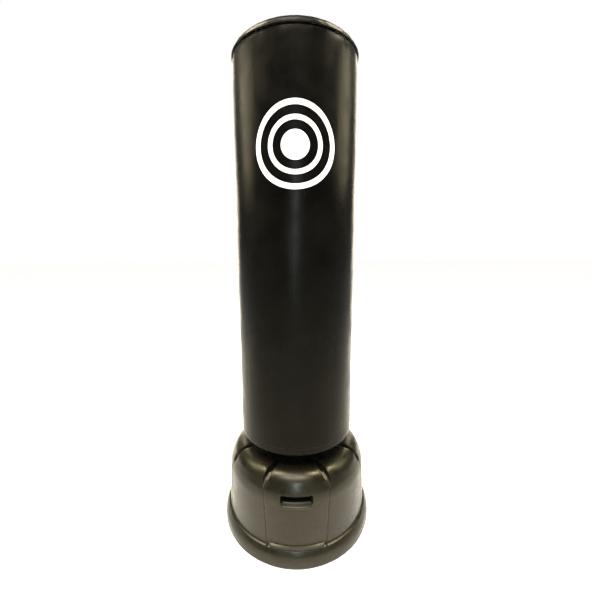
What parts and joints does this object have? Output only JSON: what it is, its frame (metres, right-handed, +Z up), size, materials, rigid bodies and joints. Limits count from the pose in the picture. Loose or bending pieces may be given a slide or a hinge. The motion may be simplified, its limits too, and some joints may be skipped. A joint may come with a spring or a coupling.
{
  "type": "punching bag on stand",
  "caption": "Tall round free-standing punching bag with a foam core under a glossy vinyl cover, on a wide sand-filled moulded base that it sways on.",
  "frame": {"origin": "on the floor at the centre of the base's footprint, on the bag's axis", "axes": "+Z up along the bag; -Y is the front, where the strike target is; +Y is the back, where the zip and the fill cap are"},
  "size_m": [0.57, 0.57, 1.69],
  "materials": {
    "tank_plastic": "satin blow-moulded",
    "sand": "loose dry sand",
    "collar_plastic": "fine grain",
    "hub_plastic": "fine grain",
    "core_plastic": "plain moulded",
    "cap_plastic": "moulded",
    "rubber": "matte",
    "steel": "zinc plated",
    "foam": "closed-cell foam",
    "vinyl": "glossy fine-grained vinyl",
    "zip_fabric": "woven",
    "zip_nylon": "moulded",
    "zip_metal": "black enamel",
    "ink": "screen-printed ink"
  },
  "bodies": {
    "base": {"base_tank": "tank_plastic", "ballast": "sand"},
    "collar": {"lock_collar": "collar_plastic"},
    "bush": {"rebound_bush": "rubber"},
    "bag": {"neck_hub": "hub_plastic", "hub_washer": "steel", "hub_nut": "hub_plastic", "core_tube": "core_plastic", "hub_screws": "steel", "core_cap": "core_plastic", "foam_sleeve": "foam", "foam_top_pad": "foam", "cover_sleeve": "vinyl", "cover_top_panel": "vinyl", "top_piping": "vinyl", "cover_bottom_panel": "vinyl", "zip_tape": "zip_fabric", "zip_teeth": "zip_nylon", "zip_stops": "zip_metal", "strike_target": "ink"},
    "slider": {"zip_slider": "zip_metal"},
    "pull": {"zip_pull": "zip_metal"},
    "gasket": {"fill_cap_gasket": "rubber"},
    "cap": {"fill_cap": "cap_plastic"}
  },
  "joints": [
    {"name": "sway_fore_aft", "type": "hinge", "parent": "base", "child": "bush", "pos_m": [0, 0, 0.296], "axis": [1, 0, 0], "range_deg": [-6, 6], "stiffness_Nm_per_rad": 1500, "deforming": ["rebound_bush"]},
    {"name": "sway_sideways", "type": "hinge", "parent": "bush", "child": "bag", "pos_m": [0, 0, 0.296], "axis": [0, 1, 0], "range_deg": [-6, 6], "stiffness_Nm_per_rad": 1500, "deforming": ["rebound_bush"]},
    {"name": "collar_turn", "type": "hinge", "parent": "base", "child": "collar", "pos_m": [0, 0, 0.308], "axis": [0, 0, 1], "range_deg": [0, 60]},
    {"name": "cap_lift", "type": "slide", "parent": "base", "child": "gasket", "axis": [0, 0.7071, 0.7071], "range_m": [0, 0.0125]},
    {"name": "cap_turn", "type": "hinge", "parent": "gasket", "child": "cap", "pos_m": [0, 0.23544, 0.28544], "axis": [0, 0.7071, 0.7071], "range_deg": [0, 900]},
    {"name": "zip_slider_travel", "type": "slide", "parent": "bag", "child": "slider", "axis": [0, 0, 1], "range_m": [0, 1.2]},
    {"name": "zip_pull_swing", "type": "hinge", "parent": "slider", "child": "pull", "pos_m": [0, 0.2164, 0.392], "axis": [1, 0, 0], "range_deg": [0, 150]}
  ],
  "couplings": [
    {"joint": "cap_turn", "follows": "cap_lift", "rad_per_m": 1256.6}
  ]
}
